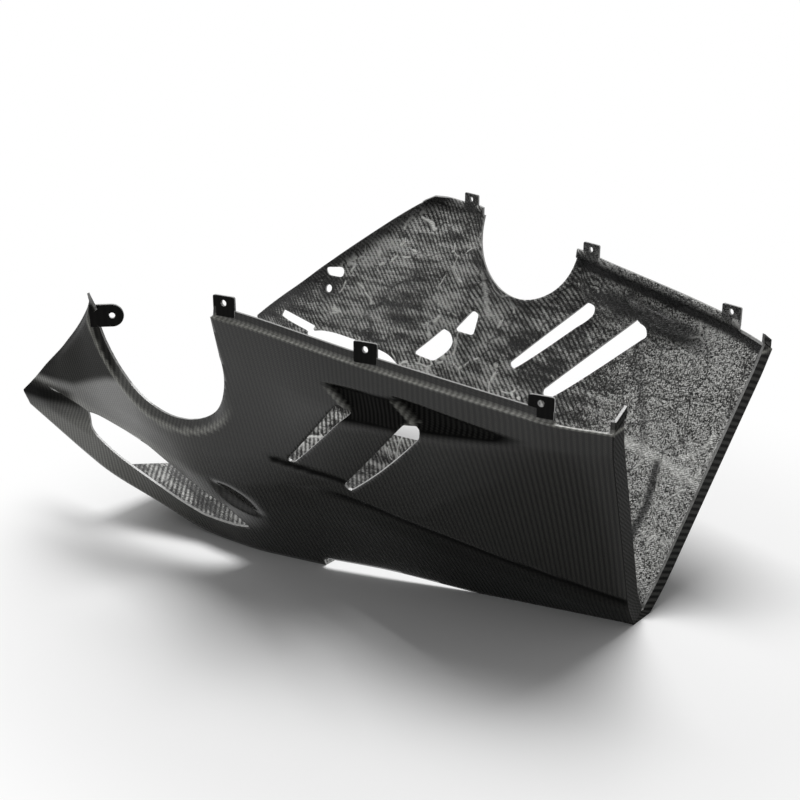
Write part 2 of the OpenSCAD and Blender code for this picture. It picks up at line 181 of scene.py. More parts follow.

# Turn of the cloth on both sides in degrees, and where the bag side turns leathery and painted lighter, in
# metres along X
OUTER_TURN, INNER_TURN, INNER_WIDER = 45.0, 2.0, 1.1
LIGHTER_GRAIN_FROM, LIGHTER_GRAIN_FULL = 0.155, 0.235

CAMERA_AZ, CAMERA_EL, CAMERA_DISTANCE = 39.55, 20.42, 1321.0
CAMERA_TARGET = (-18.1, 0.0, 137.2)
FOCAL_PX, PHOTO_PX, SENSOR_MM = 1400.0, 800.0, 36.0

# The stage in metres: floor, where it passes into plain white, and the lamp
FLOOR_R, FLOOR_SIDES = 1.5, 96
WHITE_CENTRE, WHITE_FROM, WHITE_FULL = (0.18, -0.02, 0.0), 0.31, 0.54
LAMP_PLACE, LAMP_TARGET, LAMP_SIZE, LAMP_POWER = (0.12, 0.3, 2.0), (0.05, 0.0, 0.12), (1.3, 1.0), 37.0
WORLD_LEVEL = 0.28


class BellyPanSizes(bpy.types.PropertyGroup):
    """Sizes of the laminate that a user would change"""
    grid_step: bpy.props.FloatProperty(
        name="Grid step", unit="LENGTH", default=0.003,
        description="Distance between the points of the moulding's grid")
    wall: bpy.props.FloatProperty(
        name="Laminate", unit="LENGTH", default=0.0022,
        description="Thickness of the laminate")
    lip_w: bpy.props.FloatProperty(
        name="Lip width", unit="LENGTH", default=0.011,
        description="Width of the rolled lip round an engine opening")
    lip_depth: bpy.props.FloatProperty(
        name="Lip depth", unit="LENGTH", default=0.006,
        description="How far a rolled lip turns inward")
    gill_depth: bpy.props.FloatProperty(
        name="Rim depth", unit="LENGTH", default=0.006,
        description="How far the skin is set in behind the front rim")
    wedge_depth: bpy.props.FloatProperty(
        name="Wedge depth", unit="LENGTH", default=0.008,
        description="How far the wedge behind the rear rim is set in")
    hollow_depth: bpy.props.FloatProperty(
        name="Hollow depth", unit="LENGTH", default=0.006,
        description="Depth of the hollow behind the intake")
    groove_depth: bpy.props.FloatProperty(
        name="Groove depth", unit="LENGTH", default=0.009,
        description="Depth of the groove under the chine at the nose")
    tab_t: bpy.props.FloatProperty(
        name="Tab thickness", unit="LENGTH", default=0.0026,
        description="Thickness of the fixing tabs")
    tow: bpy.props.FloatProperty(
        name="Tow width", unit="LENGTH", default=0.0015,
        description="Width of one carbon tow in the twill")


class BellyPanColours(bpy.types.PropertyGroup):
    """Colours of the laminate and of the stage"""
    tow_light: bpy.props.FloatVectorProperty(
        name="Light tow", subtype="COLOR", default=(0.034, 0.034, 0.030),
        description="Colour of the tows that catch the light")
    tow_dark: bpy.props.FloatVectorProperty(
        name="Dark tow", subtype="COLOR", default=(0.010, 0.010, 0.009),
        description="Colour of the tows that run the other way")
    # The light resin tone is also reached by the painted glints and the painted light of the bag side's rear
    resin_light: bpy.props.FloatVectorProperty(
        name="Light resin", subtype="COLOR", default=(0.72, 0.72, 0.70),
        description="Colour of the dry, raised resin on the bag side")
    resin_dark: bpy.props.FloatVectorProperty(
        name="Dark resin", subtype="COLOR", default=(0.006, 0.006, 0.006),
        description="Colour of the wet hollows on the bag side")
    cut_edge: bpy.props.FloatVectorProperty(
        name="Cut edge", subtype="COLOR", default=(0.34, 0.34, 0.33),
        description="Colour of the trimmed edge of the laminate")
    floor: bpy.props.FloatVectorProperty(
        name="Floor", subtype="COLOR", default=(0.86, 0.86, 0.86),
        description="Colour of the floor")


def sizes():
    """The sizes in metres that the scene holds."""
    return bpy.context.scene.belly_pan_sizes


def colours():
    """The colours that the scene holds."""
    return bpy.context.scene.belly_pan_colours


# Shape of the skin

def along(line, x):
    """A guide line smoothed by the mean of five places round x."""
    places, values = zip(*line)
    shifts = np.array([-1.0, -0.5, 0.0, 0.5, 1.0]) * SMOOTH_SPAN
    return sum(np.interp(x + s, places, values) for s in shifts) / len(shifts)


def ramp(x, low, high):
    """Rises from 0 at low to 1 at high with level ends: 3 t squared less 2 t cubed."""
    t = np.clip((x - low) / (high - low), 0.0, 1.0)
    return t * t * (3.0 - 2.0 * t)


def fall(x, low, high):
    """Falls from 1 at low to 0 at high: one less the ramp."""
    return 1.0 - ramp(x, low, high)


def hump(x, start, full, late, end):
    """Rises from 0 at start to 1 at full and falls from 1 at late to 0 at end: the ramp times the fall."""
    return ramp(x, start, full) * fall(x, late, end)


def knot(lines, x, v):
    """Straight mix of the two guide lines on either side of v, which runs from 0 to 3."""
    k = np.minimum(np.floor(v).astype(int), len(lines) - 2)
    values = np.stack([along(line, x) for line in lines])
    low = np.take_along_axis(values, k[None], 0)[0]
    high = np.take_along_axis(values, k[None] + 1, 0)[0]
    return low + (high - low) * (v - k)


def eased(lines, x, v):
    """The mix of guide lines with its corners rounded by a mean of three places, but exact at both ends."""
    reach = EASE - EASE_LESS * ramp(x, -60, 60)
    straight = knot(lines, x, v)
    below, above = knot(lines, x, np.maximum(v - reach, 0.0)), knot(lines, x, np.minimum(v + reach, FOLD))
    weight = np.clip(np.minimum(v, FOLD - v) / reach, 0.0, 1.0)
    return (1.0 - weight) * straight + weight * (below + straight + above) / 3.0


def leaned(x, z):
    """Low points of the rear end lie further forward, by the rake times what they lack in height."""
    return x - REAR_RAKE * ramp(x, RAKE_START, REAR_REACH) * (1.0 - np.minimum(1.0, z / REAR_Z))


def rim_x(z):
    """Place along X of the rim that runs up along the front slot and bends forward above it."""
    return GILL_X + (z - GILL_TOP_Z) * np.where(z < GILL_TOP_Z, GILL_RUN / GILL_DROP, GILL_BEND)


def gill_band(x):
    """Heights of the lower and the upper edge of the band in which the gill rims lie: the lower one is
    straight, and the upper one falls behind the rear rim."""
    low = GILL_TOP_Z - BAND_DROP + BAND_SLOPE * (x - GILL_X)
    return low, WEDGE_TOP - BAND_FALL * ramp(x, GILL_X + GILL_PITCH - 26, GILL_X + GILL_PITCH + 104)


def gill_inset(x, z):
    """Skin set in behind the upper part of each rim: steep at the rim and rising back to flush behind it.
    The band in which it lies has a soft lower and a sharp upper edge."""
    run = x - rim_x(z)
    low, top = gill_band(x)
    first = sizes().gill_depth / MM * hump(run, 0, RIM_RUN, 8, GILL_PITCH)
    second = sizes().wedge_depth / MM * hump(run - GILL_PITCH, 0, RIM_RUN, 10, WEDGE_LEN)
    return hump(z, low - 6, low + 10, top - 1, top + 4) * np.maximum(first, second)


def hollow_inset(x, z):
    """Hollow below the rear tip of the intake: a round rim below and ahead, and a soft rise behind."""
    cx, cz, r = HOLLOW
    deep = hump(r - np.hypot(x - cx, z - cz), 0, 7, 8, 30)
    return sizes().hollow_depth / MM * deep * fall(x, cx - 20, cx + 4) * fall(z, cz - 22, cz - 4)


def groove_inset(x, z):
    """Groove under the chine from the nose to the intake: deepest just below the chine."""
    deep = hump(along(CHINE_Z, x) - z, 0, 9, 9, 30)
    ends = hump(x, GROOVE_START, GROOVE_START + 45, GROOVE_END - 20, GROOVE_END)
    return sizes().groove_depth / MM * deep * ends


def crease_inset(x, z):
    """Two creases behind the slots: a straight narrow one, and one along the chine that is sharp above
    and fades out over the facet below it."""
    off = np.abs(z - CREASE_Z + CREASE_SLOPE * (x - CREASE_X))
    straight = fall(off, 0.5, 5) * hump(x, -34, -16, 34, 48)
    chine = hump(along(CHINE_Z, x) - z, -0.5, 3, 4, 34) * hump(x, -34, 4, 222, 268)
    return CREASE_DEPTH * straight + CHINE_CREASE_DEPTH * chine


def skin_side(x, v):
    """Point of one side at station x and guide place v, as X, half width and height: the guide lines
    less the sum of all insets."""
    z = eased(HEIGHTS, x, v)
    lean_x = leaned(x, z)
    inset = sum(part(lean_x, z) for part in (gill_inset, hollow_inset, groove_inset, crease_inset))
    return np.stack([lean_x, eased(HALVES, lean_x, v) - inset - SIDE_SPARE, z], -1)


def convex_distance(px, pz, outline, sharp=1.2):
    """Smooth distance outside a convex outline: the logarithm of the summed exponentials of the
    distances past its straight edges, so that its corners come out round."""
    pts = np.array(outline, float)
    nxt = np.roll(pts, -1, axis=0)
    area = np.sum(pts[:, 0] * nxt[:, 1] - nxt[:, 0] * pts[:, 1])
    d = nxt - pts
    normal = np.stack([d[:, 1], -d[:, 0]], -1) / np.linalg.norm(d, axis=1)[:, None] * np.sign(area)
    past = np.stack([(px - p[0]) * n[0] + (pz - p[1]) * n[1] for p, n in zip(pts, normal)])
    top = past.max(0)
    return top + np.log(np.exp((past - top) * sharp).sum(0)) / sharp


def near_opening_distance(x, z):
    """Distance outside the near engine opening: a circle, joined to the outline that opens it upward."""
    cx, cz, r = NEAR_OPEN
    circle = np.hypot(x - cx, z - cz) - r
    up = [(HORN_X + dx, HORN_Z + dz) for dx, dz in THROAT]
    rear = (cx + r + THROAT_WIDER, up[-1][1])
    return np.minimum(circle, convex_distance(x, z, [(cx - r, cz), *up, rear, (cx + r, cz)]))


def far_opening_distance(x, z):
    """Distance outside the far engine opening: a circle with straight sides above its middle."""
    cx, cz, r = FAR_OPEN
    circle = np.hypot(x - cx, z - cz) - r
    return np.minimum(circle, np.maximum(np.abs(x - cx) - r, cz - z))


def opening_distance(x, z, side):
    """Distance outside the engine opening of one side."""
    return near_opening_distance(x, z) if side == NEAR else far_opening_distance(x, z)


def behind(x, z, a, b):
    """Signed distance to the line from a up to b, positive behind and below it."""
    run, rise = b[0] - a[0], b[1] - a[1]
    return ((x - a[0]) * rise - (z - a[1]) * run) / math.hypot(run, rise)


def front_distance(x, z):
    """Distance behind the leaning front edge, which rounds over at the horn, and the blunt nose corner:
    the least of the distances behind its straight parts."""
    corners = [(-NOSE_REACH + dx, NOSE_Z + dz) for dx, dz in FRONT_LOW]
    corners += [(HORN_X + dx, HORN_Z + dz) for dx, dz in FRONT_HIGH]
    parts = [behind(x, z, a, b) for a, b in zip(corners, corners[1:])]
    return np.minimum(np.min(parts, 0), x + NOSE_REACH + NOSE_BLUNT)


def slot_distance(x, z, side):
    """Distance outside the two gill slots of one side."""
    front, rear = (FRONT_SLOT, REAR_SLOT) if side == NEAR else (FAR_FRONT_SLOT, FAR_REAR_SLOT)
    return np.minimum(convex_distance(x, z, front, 1.1), convex_distance(x, z, rear, 0.9))


def slit_distance(x, z):
    """Distance outside the slit in the groove, parallel to the chine."""
    start, end, gap, height = SLIT
    middle = along(CHINE_Z, x) - gap - height / 2
    return np.maximum(np.abs(z - middle) - height / 2, np.maximum(start - x, x - end))


def far_only_distance(x, z):
    """Distance outside what only the far side has: the rounded window, the round hole below it, the
    half-moon and the wedge."""
    wx, wz, half_w, half_h, r = FAR_WINDOW
    window = np.hypot(np.maximum(np.abs(x - wx) - half_w, 0), np.maximum(np.abs(z - wz) - half_h, 0)) - r
    hole = np.hypot(x - FAR_BOSS[0], z - FAR_BOSS[1]) - FAR_BOSS[2]
    moon, wedge = convex_distance(x, z, FAR_MOON, 0.7), convex_distance(x, z, FAR_WEDGE, 0.9)
    return np.minimum.reduce([window, hole, moon, wedge])


def keep_distance(x, y, z, side):
    """Positive on the laminate and negative in what was trimmed out of it: the least of the distances
    outside all openings, with the claw above the near front corner put back."""
    edge = np.minimum(front_distance(x, z), opening_distance(x, z, side))
    if side == NEAR:
        edge = np.maximum(edge, -convex_distance(x, z, CLAW, 2.0))
    trim = np.maximum(x - REAR_REACH + REAR_POST, along(FOLD_Z, x) + FLANGE_TRIM - z)
    mouth = np.minimum(np.minimum(BOTTOM_FRONT_X - x, BAND_INNER - np.abs(y)), NOSE_Z - MOUTH_DROP - z)
    drain = np.maximum(convex_distance(x, y, DRAIN, 0.3), z - DRAIN_TOP)
    kept = [edge, slot_distance(x, z, side), convex_distance(x, z, INTAKE), slit_distance(x, z),
            np.maximum(FLANGE_END - x, trim), -mouth, drain]
    if side == FAR:
        kept.append(far_only_distance(x, z))
    return np.minimum.reduce(kept)


def lip_inset(x, z, side):
    """Rolled lips: the skin turns inward over the last stretch before an engine opening or the front edge."""
    width, depth = sizes().lip_w / MM, sizes().lip_depth / MM
    rear_fade = fall(x, NEAR_OPEN[0] + 40, NEAR_OPEN[0] + 74) if side == NEAR else FAR_LIP
    lip = fall(opening_distance(x, z, side), 0, width) * depth * rear_fade
    front = fall(front_distance(x, z), -2, width) * depth * ramp(z, NOSE_Z + 14, NOSE_Z + 50)
    both = np.maximum(lip, front)
    return both * (1.0 - 0.35 * ramp(z, HORN_Z - 38, HORN_Z - 14)) if side == NEAR else both


def bottom_count():
    """Number of grid steps from the keel to the bottom corner."""
    return int(BOTTOM_SPAN / (sizes().grid_step / MM) / BOTTOM_COARSE)


def profile_grid(stations):
    """Half profiles from the keel to the top of the flange, as a grid of stations by places: a flat
    bottom, the side, the joggle and the upright flange."""
    flat = np.linspace(0.0, 1.0, bottom_count())[:-1]
    v = np.linspace(0.0, FOLD, int(SIDE_SPAN / (sizes().grid_step / MM)))
    side = skin_side(*np.broadcast_arrays(stations[:, None], v[None]))
    corner, top = side[:, :1], side[:, -1:]
    keel = np.stack([leaned(stations, 0 * stations), 0 * stations,
                     KEEL_RISE * fall(stations, BOTTOM_FRONT_X, KEEL_LEVEL_X)], -1)[:, None]
    bottom = keel + (corner - keel) * flat[None, :, None]
    steps = np.linspace(0, 1, 4)[1:]
    joggle = np.concatenate([top + np.array([0, -FLANGE_STEP * t, t * t]) for t in steps], 1)
    flange = np.concatenate([top + np.array([0, -FLANGE_STEP, 1 + (FLANGE_H - 1) * t]) for t in steps], 1)
    return np.concatenate([bottom, side, joggle, flange], 1)


def grid_normals(points):
    """Normals of a grid by the cross product of its two directions."""
    n = np.cross(np.gradient(points, axis=0), np.gradient(points, axis=1))
    return n / np.maximum(np.linalg.norm(n, axis=-1, keepdims=True), 1e-9)


def return_rows(last):
    """Return flange: the last profile carried inward and up in steps, but never past the keel."""
    x, y, z = last.T
    inward = np.sign(y) * np.maximum(RETURN_LEFT * np.abs(y), np.abs(y) - RETURN_W * RETURN_IN)
    moved = np.stack([x, inward, z + RETURN_W * RETURN_UP], -1)
    return np.stack([last + (moved - last) * t for t in RETURN_STEPS])


def whole_grid():
    """Points of the whole skin by stations, from the near top to the far top, with the return flange at
    the end. The keep distance comes with it, and 1 on the return flange."""
    first = -NOSE_REACH - GRID_LEAD
    count = int((REAR_REACH - first) / (sizes().grid_step / MM))
    stations = np.linspace(first, REAR_REACH - REAR_SPARE, count)
    half = profile_grid(np.sort(np.append(stations, REAR_REACH - REAR_STRIP)))
    x, z = half[..., 0], half[..., 2]
    above_corner = ramp(np.arange(half.shape[1])[None, :], bottom_count(), bottom_count() + 6)
    parts, keeps = [], []
    for side in (NEAR, FAR):
        pts = half.copy()
        keep = keep_distance(x, pts[..., 1], z, side)
        pts[..., 1] = (pts[..., 1] - lip_inset(x, z, side) * above_corner) * side
        if side == NEAR:
            pts, keep = pts[:, :0:-1], keep[:, :0:-1]
        parts.append(pts)
        keeps.append(keep)
    points, keep = np.concatenate(parts, 1), np.concatenate(keeps, 1)
    extra = return_rows(points[-1])
    points = np.concatenate([points, extra])
    keep = np.concatenate([keep, np.repeat(np.maximum(keep[-1:], 1.0), len(extra), 0)])
    on_return = np.zeros(keep.shape)
    on_return[-len(extra) - 1:] = 1.0
    return points, keep, on_return


def line_mark(x, z, a, b, width):
    """1 on the straight line from a to b, falling to 0 at the width beside it."""
    run = np.array([b[0] - a[0], b[1] - a[1]], float)
    t = np.clip(((x - a[0]) * run[0] + (z - a[1]) * run[1]) / (run @ run), 0.0, 1.0)
    off = np.hypot(x - a[0] - t * run[0], z - a[1] - t * run[1])
    return fall(off, width * 0.35, width)


def stains(points):
    """Four channels: how dark the bag side is, with painted shade in the joggle's groove, the band behind the
    gills, along the front edge and round the far boss, darker towards the keel and along the folds; its
    raised plies; and the painted highlights and the painted shade and dark reflections of the outer side."""
    x, y, z = points[..., 0], points[..., 1], points[..., 2]
    below = along(FOLD_Z, x) - z
    # Painted shade in the joggle's groove, behind the gills, along the front edge and round the far boss;
    # darker towards the keel
    dark = [fall(np.abs(below - 3.0), 4, 9) * ramp(x, -20, 10),
            0.9 * hump(x, 82, 100, 190, 240) * fall(np.abs(below - 27), 5, 14),
            0.9 * fall(front_distance(x, z), 2, 20),
            0.9 * fall(np.hypot(x - FAR_BOSS[0], z - FAR_BOSS[1]), 6, 19) * (y > 0),
            0.5 * fall(z, 0, 22)]
    dark += [level * line_mark(x, z, a, b, FOLD_MARK_W) for a, b, level in DARK_FOLDS]
    plies = [level * line_mark(x, z, a, b, width) for a, b, width, level in PLY_RIDGES]
    shade_paint = painted_shade_marks(x, z)
    return np.stack([np.maximum.reduce(dark), np.maximum.reduce(plies), painted_highlights(x, y, z, shade_paint), shade_paint], -1)


def painted_highlights(x, y, z, shade_paint):
    """Painted highlights and reflections on the outer side: highlights along the bend of the rolled lips, the
    joggle under the flange and the gill rims, and, where no shade is painted, a highlight on the crest of
    the chine and painted reflections of the floor on the front band and the nose."""
    opening = np.where(y < 0, near_opening_distance(x, z), far_opening_distance(x, z))
    lip = fall(np.abs(opening - LIP_BEND), 1.2, 3.6) * fall(x, NEAR_OPEN[0] + 50, NEAR_OPEN[0] + 76)
    joggle = fall(np.abs(along(FOLD_Z, x) - z + 0.5), 0.5, 2.4) * ramp(x, -66, -40)
    run = x - rim_x(z)
    rim = np.minimum(np.abs(run - 1.0), np.abs(run - GILL_PITCH - 1.0))
    rim = RIM_LIGHT * fall(rim, 1.0, 3.2) * hump(z, 186, 196, 216, 222)
    crest = CREST_LIGHT * fall(np.abs(along(CHINE_Z, x) + 1.0 - z), 1.5, 15) * fall(x, -190, -90)
    front_band = FRONT_LIGHT * hump(x, -360, -290, -215, -70) * ramp(z, 30, 90)
    nose = NOSE_LIGHT * fall(x, -290, -130) * fall(z, 92, 108)
    soft = np.maximum.reduce([crest, front_band, nose]) * (1.0 - shade_paint)
    return np.maximum.reduce([lip, joggle, rim, soft])


def painted_shade_marks(x, z):
    """Painted shade and dark reflections on the outer side, which also take its gloss away: a dark reflection
    on the front corner above the chine, and shade on the facet under the nose, in the wedges behind the
    slots, on the facet below the chine towards the rear and in the upper crease."""
    corner = np.interp(x, *zip(*DARK_CORNER))
    run = x - rim_x(z)
    low, top = gill_band(x)
    drop = along(CHINE_Z, x) - z
    wedge = hump(z, low - 4, low + 4, top - 1, top + 3) * hump(run, 0, 4, GILL_PITCH + 64, GILL_PITCH + 100)
    return np.maximum.reduce([CORNER_PAINTED_DARK * ramp(z, corner - 3, corner + 6) * fall(x, -196, -182),
                              CORNER_PAINTED_DARK * hump(z, 104, 112, 126, 134) * fall(x, -304, -280),
                              WEDGE_SHADE * wedge,
                              FACET_SHADE * hump(drop, -2, 1, 2, 15) * ramp(x, 0, 40),
                              LOW_SHADE * ramp(drop, 0, 3) * ramp(x, 20, 120),
                              CORNER_PAINTED_DARK * line_mark(x, z, *CREASE_MARK)])


def cloth_coordinates(points):
    """Length along the skin in both directions, in metres, for the weave to follow."""
    du = np.linalg.norm(np.diff(points, axis=0), axis=-1).mean(1)
    u = np.concatenate([[0.0], np.cumsum(du)])
    dv = np.linalg.norm(np.diff(points, axis=1), axis=-1)
    v = np.concatenate([np.zeros((len(points), 1)), np.cumsum(dv, axis=1)], 1)
    middle = v[:, v.shape[1] // 2][:, None]
    return np.stack([np.repeat(u[:, None], points.shape[1], 1), v - middle], -1) * MM


def trimmed(points, keep, extra):
    """Clips the grid's triangles where the keep distance crosses zero. Each crossing lies on a grid
    edge, in proportion to the distances at its ends, and so do the extra values carried along."""
    n, m = keep.shape
    index = np.arange(n * m).reshape(n, m)
    a, b, c, d = index[:-1, :-1], index[1:, :-1], index[1:, 1:], index[:-1, 1:]
    tris = np.concatenate([np.stack([a, b, c], -1).reshape(-1, 3), np.stack([a, c, d], -1).reshape(-1, 3)])
    value = keep.reshape(-1)
    value = np.where(np.abs(value) < 1e-4, 1e-4, value)
    inside = value > 0
    count = inside[tris].sum(1)
    whole = tris[count == 3]
    two = tris[count == 2]
    turn = np.argmin(inside[two], axis=1)
    two = np.stack([two[np.arange(len(two)), (turn + k) % 3] for k in range(3)], -1)
    one = tris[count == 1]
    turn = np.argmax(inside[one], axis=1)
    one = np.stack([one[np.arange(len(one)), (turn + k) % 3] for k in range(3)], -1)
    edges = np.concatenate([two[:, [0, 1]], two[:, [0, 2]], one[:, [0, 1]], one[:, [0, 2]]])
    pairs, which = np.unique(np.sort(edges, axis=1), axis=0, return_inverse=True)
    which = which.reshape(-1)
    t = (value[pairs[:, 0]] / (value[pairs[:, 0]] - value[pairs[:, 1]]))[:, None]
    data = np.concatenate([points.reshape(n * m, -1), extra.reshape(n * m, -1)], 1)
    cut = data[pairs[:, 0]] * (1 - t) + data[pairs[:, 1]] * t
    base = n * m
    k2, k1 = len(two), len(one)
    p2, q2 = base + which[:k2], base + which[k2:2 * k2]
    p1, q1 = base + which[2 * k2:2 * k2 + k1], base + which[2 * k2 + k1:]
    faces = np.concatenate([whole, np.stack([p2, two[:, 1], two[:, 2]], -1),
                            np.stack([p2, two[:, 2], q2], -1), np.stack([one[:, 0], p1, q1], -1)])
    data = np.concatenate([data, cut])
    used, packed = np.unique(faces, return_inverse=True)
    return data[used], packed.reshape(-1, 3)


def border_edges(faces):
    """Edges that only one face has, in that face's direction."""
    edges = np.concatenate([faces[:, [0, 1]], faces[:, [1, 2]], faces[:, [2, 0]]])
    key = np.sort(edges, axis=1)
    _, which, counts = np.unique(key, axis=0, return_inverse=True, return_counts=True)
    return edges[counts[which.reshape(-1)] == 1]


OUTER, INNER, EDGE = 0, 1, 2


class Batch:
    """Gathers vertices, faces, cloth coordinates, painted light and marks, and material slots of one object.
    """

    def __init__(self):
        self.points, self.faces, self.cloth, self.stain, self.slots, self.smooth = [], [], [], [], [], []
        self.count = 0

    def add(self, points, faces, cloth, stain, slots, smooth):
        """Takes up one closed shape, whose points are in millimetres from under the engine."""
        self.points.append(to_frame(points))
        self.faces.append(faces + self.count)
        self.cloth.append(cloth)
        self.stain.append(stain)
        self.slots.append(slots)
        self.smooth.append(smooth)
        self.count += len(points)


def to_frame(points):
    """From places counted from under the engine, in millimetres, to the frame in metres."""
    return (points - np.array([ORIGIN_X, 0.0, 0.0])) * MM


def add_moulding(batch):
    """Outer skin, inner skin and the cut edge between them, welded into one closed surface. The inner
    skin lies one wall inward along the normals, which all point straight back on the return flange, where
    the cloth is turned by 45 degrees."""
    points, keep, on_return = whole_grid()
    normals = grid_normals(points)
    normals *= np.sign(np.median(normals[..., 1] * points[..., 1])) or 1.0
    back_way = np.array([1.0, 0.0, -REAR_RAKE / REAR_Z])
    normals[np.flatnonzero(on_return[:, 0] > 0.5)[1:]] = back_way / np.linalg.norm(back_way)
    cloth = cloth_coordinates(points)
    u, v = cloth[..., 0], cloth[..., 1]
    turned = np.stack([u + v, v - u], -1) / math.sqrt(2.0)
    cloth = np.where(on_return[..., None] > 0.5, turned, cloth)
    stain = stains(points)
    # The return flange gets the full dark mark of the outer side: near black, without coat, with faintly lit
    # tows
    stain[on_return > 0.5, 3] = 1.0
    data, faces = trimmed(points, keep, np.concatenate([normals, cloth, on_return[..., None], stain], -1))
    pts, nrm, cloth, on_return, stain = np.split(data, [3, 6, 8, 9], axis=1)
    nrm = nrm / np.maximum(np.linalg.norm(nrm, axis=1, keepdims=True), 1e-9)
    a, b, c = pts[faces[:, 0]], pts[faces[:, 1]], pts[faces[:, 2]]
    if np.median(np.cross(b - a, c - a)[:, 1] * a[:, 1]) < 0:
        faces = faces[:, ::-1]
    inner = pts - nrm * (sizes().wall / MM)
    count = len(pts)
    border = border_edges(faces)
    rim = np.concatenate([np.stack([border[:, 1], border[:, 0], border[:, 0] + count], -1),
                          np.stack([border[:, 1], border[:, 0] + count, border[:, 1] + count], -1)])
    all_faces = np.concatenate([faces, faces[:, ::-1] + count, rim])
    back = np.where(on_return[faces, 0].min(1) > 0.5, OUTER, INNER)
    slots = np.concatenate([np.full(len(faces), OUTER), back, np.full(len(rim), EDGE)])
    smooth = np.concatenate([np.ones(2 * len(faces), bool), np.zeros(len(rim), bool)])
    batch.add(np.concatenate([pts, inner]), all_faces, np.concatenate([cloth, cloth]),
              np.concatenate([stain, stain]), slots, smooth)


def plate(outline, hole_r, thick, rings=6):
    """Plate between a round hole and an outline in X and Z: rings that pass from one to the other in
    equal parts, on both faces, with the edges closed. The plate lies between Y 0 and its thickness."""
    n = len(outline)
    angle = np.arctan2(outline[:, 1], outline[:, 0])
    circle = np.stack([np.cos(angle), np.sin(angle)], -1) * hole_r
    t = np.linspace(0, 1, rings)[:, None, None]
    flat = circle[None] * (1 - t) + outline[None] * t
    front = np.concatenate([flat[..., :1], 0 * flat[..., :1], flat[..., 1:]], -1)
    back = front + np.array([0, thick, 0])
    shrink = 1 - PLATE_BEVEL / np.maximum(np.linalg.norm(outline, axis=1), 1e-6)[:, None]
    front[-1, :, 0], front[-1, :, 2] = (outline * shrink).T
    back[-1, :, 0], back[-1, :, 2] = (outline * shrink).T
    sides = [np.stack([outline[:, 0], np.full(n, y), outline[:, 1]], -1)[None]
             for y in (PLATE_BEVEL, thick - PLATE_BEVEL)]
    loop = np.concatenate([front, *sides, back[::-1]], 0)
    index = np.arange(len(loop) * n).reshape(len(loop), n)
    right, down = np.roll(index, -1, axis=1), np.roll(index, -1, axis=0)
    diagonal = np.roll(down, -1, axis=1)
    faces = np.concatenate([np.stack([index, right, diagonal], -1).reshape(-1, 3),
                            np.stack([index, diagonal, down], -1).reshape(-1, 3)])
    return loop.reshape(-1, 3), faces


def outward_faces(points, faces):
    """Turns all faces round if the volume that they enclose, a sum of triple products, is negative."""
    a, b, c = points[faces[:, 0]], points[faces[:, 1]], points[faces[:, 2]]
    volume = np.einsum("ij,ij->i", a, np.cross(b, c)).sum()
    return faces if volume > 0 else faces[:, ::-1]


def rounded_outline(half_w, low, high, corner, count=96):
    """Outline of a rectangle with two rounded top corners: the reach from its centre in each direction,
    and past a corner's centre the point at the corner's radius from it."""
    angle = np.linspace(-math.pi, math.pi, count, endpoint=False)
    dx, dz = np.cos(angle), np.sin(angle)
    reach_x = half_w / np.maximum(np.abs(dx), 1e-6)
    reach_z = np.where(dz > 0, high, -low) / np.maximum(np.abs(dz), 1e-6)
    r = np.minimum(reach_x, reach_z)
    pts = np.stack([dx * r, dz * r], -1)
    cx, cz = half_w - corner, high - corner
    over = (np.abs(pts[:, 0]) > cx) & (pts[:, 1] > cz)
    q = np.stack([np.abs(pts[:, 0]) - cx, pts[:, 1] - cz], -1)
    scale = corner / np.maximum(np.linalg.norm(q, axis=1), 1e-6)
    q = q * scale[:, None]
    pts[over, 0] = (np.sign(pts[:, 0]) * (cx + q[:, 0]))[over]
    pts[over, 1] = (cz + q[:, 1])[over]
    return pts


def fold_point(x, side):
    """Place at the foot of the top flange, on its outer face."""
    height = skin_side(np.array([x]), np.array([FOLD]))[0, 2]
    return np.array([x, side * (float(along(FOLD_HALF, np.array([x]))[0]) - FLANGE_STEP), height])


def placed(points, at, turn):
    """Turned about Z and moved to its place."""
    a = math.radians(turn)
    spin = np.array([[math.cos(a), -math.sin(a), 0], [math.sin(a), math.cos(a), 0], [0, 0, 1]])
    return points @ spin.T + at


def add_plate(batch, outline, at, turn, side):
    """Adds a plate with a screw hole, turned about Z, with its thickness inward of the given place."""
    thick = sizes().tab_t / MM
    pts, faces = plate(outline, TAB_HOLE_R, thick)
    faces = outward_faces(pts, faces)
    if side == FAR:
        pts = pts - np.array([0, thick, 0])
    pts = placed(pts, at, turn)
    a, b, c = pts[faces[:, 0]], pts[faces[:, 1]], pts[faces[:, 2]]
    normal = np.cross(b - a, c - a)
    facing = normal[:, 1] * side / np.maximum(np.linalg.norm(normal, axis=1), 1e-9)
    slots = np.where(facing > 0.5, OUTER, np.where(facing < -0.5, INNER, EDGE))
    batch.add(pts, faces, pts[:, [0, 2]] * MM, np.tile(PLATE_DARKENING, (len(pts), 1)), slots,
              np.zeros(len(faces), bool))


def add_tabs(batch):
    """Six tabs that stand on the flange, each a plate with a screw hole."""
    outline = rounded_outline(TAB_W / 2 - PLATE_SPARE, -TAB_SINK - TAB_HOLE_Z, TAB_H - TAB_HOLE_Z, TAB_CORNER)
    for x, side in TABS:
        at = fold_point(x, side) + np.array([0, 0, FLANGE_H + TAB_HOLE_Z])
        add_plate(batch, outline, at, TAB_TURN[side], side)


def upper_half(x, z):
    """Half width of the skin at a height between the waist and the fold."""
    x = np.array([x])
    low, top = along(WAIST_Z, x), along(FOLD_Z, x)
    v = WAIST + np.clip((z - low) / (top - low), 0.0, 1.0)
    return float(eased(HALVES, x, v)[0])


